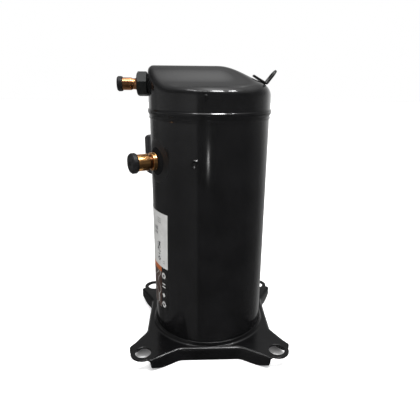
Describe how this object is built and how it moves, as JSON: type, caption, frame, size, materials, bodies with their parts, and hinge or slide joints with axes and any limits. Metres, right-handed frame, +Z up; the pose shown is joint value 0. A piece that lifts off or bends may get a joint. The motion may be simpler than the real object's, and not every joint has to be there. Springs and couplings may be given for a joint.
{
  "type": "scroll compressor",
  "caption": "Hermetic scroll compressor: upright welded steel shell on a pressed base plate, with brazed suction and discharge stubs, a terminal box and the working parts inside.",
  "frame": {"origin": "centre of the four mounting holes, on the underside of the mounting ears", "axes": "+Z up along the shaft axis; -X towards the discharge fitting; the suction fitting leaves between -X and -Y"},
  "size_m": [0.2416, 0.2325, 0.404],
  "materials": {
    "base_paint": "gloss black enamel",
    "shell_paint": "gloss black enamel",
    "cap_paint": "gloss black enamel",
    "lug_paint": "black paint",
    "nut_black": "satin black",
    "copper": "bright drawn copper",
    "plug_rubber": "moulded rubber",
    "gasket_rubber": "moulded rubber",
    "label": "printed film",
    "bare_steel": "bare steel",
    "bead_glass": "fused glass",
    "pin_brass": "plated",
    "moulded_plastic": "moulded",
    "cover_plastic": "moulded, fine grain",
    "green_screw": "green",
    "lead_sleeve": "braided sleeve",
    "protector_can": "plated can",
    "cast_iron": "as cast and machined",
    "scroll_iron": "fine machined",
    "bearing_bronze": "sintered bronze",
    "magnet": "ferrite",
    "lamination": "stacked sheets",
    "winding": "varnished copper wire",
    "machined_steel": "ground steel",
    "rotor_aluminium": "die cast",
    "bolt_steel": "black oxide"
  },
  "bodies": {
    "housing": {"base_plate": "base_paint", "bottom_cap": "shell_paint", "shell_tube": "shell_paint", "top_cap": "cap_paint", "partition_plate": "bare_steel", "lifting_lug": "lug_paint", "rating_label": "label", "discharge_collar": "cap_paint", "discharge_nut": "nut_black", "discharge_stub": "copper", "suction_boss": "shell_paint", "suction_socket": "copper", "suction_stub": "copper", "suction_deflector": "bare_steel", "terminal_ring": "shell_paint", "terminal_cup": "bare_steel", "terminal_beads": "bead_glass", "terminal_pins": "pin_brass", "terminal_gasket": "gasket_rubber", "earth_screw": "green_screw", "motor_leads": "lead_sleeve", "motor_protector": "protector_can", "lower_bracket": "cast_iron", "lower_bush": "bearing_bronze", "thrust_washer": "bare_steel", "oil_magnet": "magnet", "stator_core": "lamination", "upper_winding": "winding", "lower_winding": "winding", "main_housing": "cast_iron", "main_bush": "bearing_bronze", "fixed_scroll": "scroll_iron", "scroll_bolts": "bolt_steel", "relief_valve": "pin_brass", "valve_guard": "bare_steel"},
    "shaft": {"crankshaft": "machined_steel", "oil_pickup": "pin_brass", "rotor_core": "lamination", "rotor_end_rings": "rotor_aluminium", "lower_counterweight": "cast_iron", "upper_counterweight": "cast_iron", "drive_bush": "machined_steel"},
    "orbiter": {"orbiting_scroll": "scroll_iron", "orbiting_bush": "bearing_bronze"},
    "coupling_ring": {"oldham_ring": "rotor_aluminium"},
    "seal": {"floating_seal": "scroll_iron"},
    "valve": {"valve_disc": "machined_steel"},
    "discharge_cap": {"discharge_plug": "plug_rubber"},
    "suction_cap": {"suction_plug": "plug_rubber"},
    "box_cover": {"terminal_cover": "cover_plastic"},
    "connector": {"terminal_plug": "moulded_plastic"}
  },
  "joints": [
    {"name": "shaft_spin", "type": "hinge", "parent": "housing", "child": "shaft", "pos_m": [0, 0, 0.12], "axis": [0, 0, 1], "continuous": true},
    {"name": "orbit_hold", "type": "hinge", "parent": "shaft", "child": "orbiter", "pos_m": [0.0045, 0, 0.24], "axis": [0, 0, 1], "continuous": true},
    {"name": "coupling_slide", "type": "slide", "parent": "housing", "child": "coupling_ring", "axis": [1, 0, 0], "range_m": [-0.009, 0]},
    {"name": "seal_float", "type": "slide", "parent": "housing", "child": "seal", "axis": [0, 0, 1], "range_m": [0, 0.0015]},
    {"name": "valve_lift", "type": "slide", "parent": "housing", "child": "valve", "axis": [0, 0, 1], "range_m": [0, 0.003]},
    {"name": "discharge_plug_pull", "type": "slide", "parent": "housing", "child": "discharge_cap", "axis": [-1, 0, 0], "range_m": [0, 0.06]},
    {"name": "suction_plug_pull", "type": "slide", "parent": "housing", "child": "suction_cap", "axis": [-0.8829, -0.4695, 0], "range_m": [0, 0.06]},
    {"name": "cover_pull", "type": "slide", "parent": "housing", "child": "box_cover", "axis": [-0.5736, 0.8192, 0], "range_m": [0, 0.06]},
    {"name": "connector_pull", "type": "slide", "parent": "housing", "child": "connector", "axis": [-0.5736, 0.8192, 0], "range_m": [0, 0.012]}
  ],
  "couplings": [
    {"joint": "orbit_hold", "follows": "shaft_spin", "ratio": -1}
  ]
}
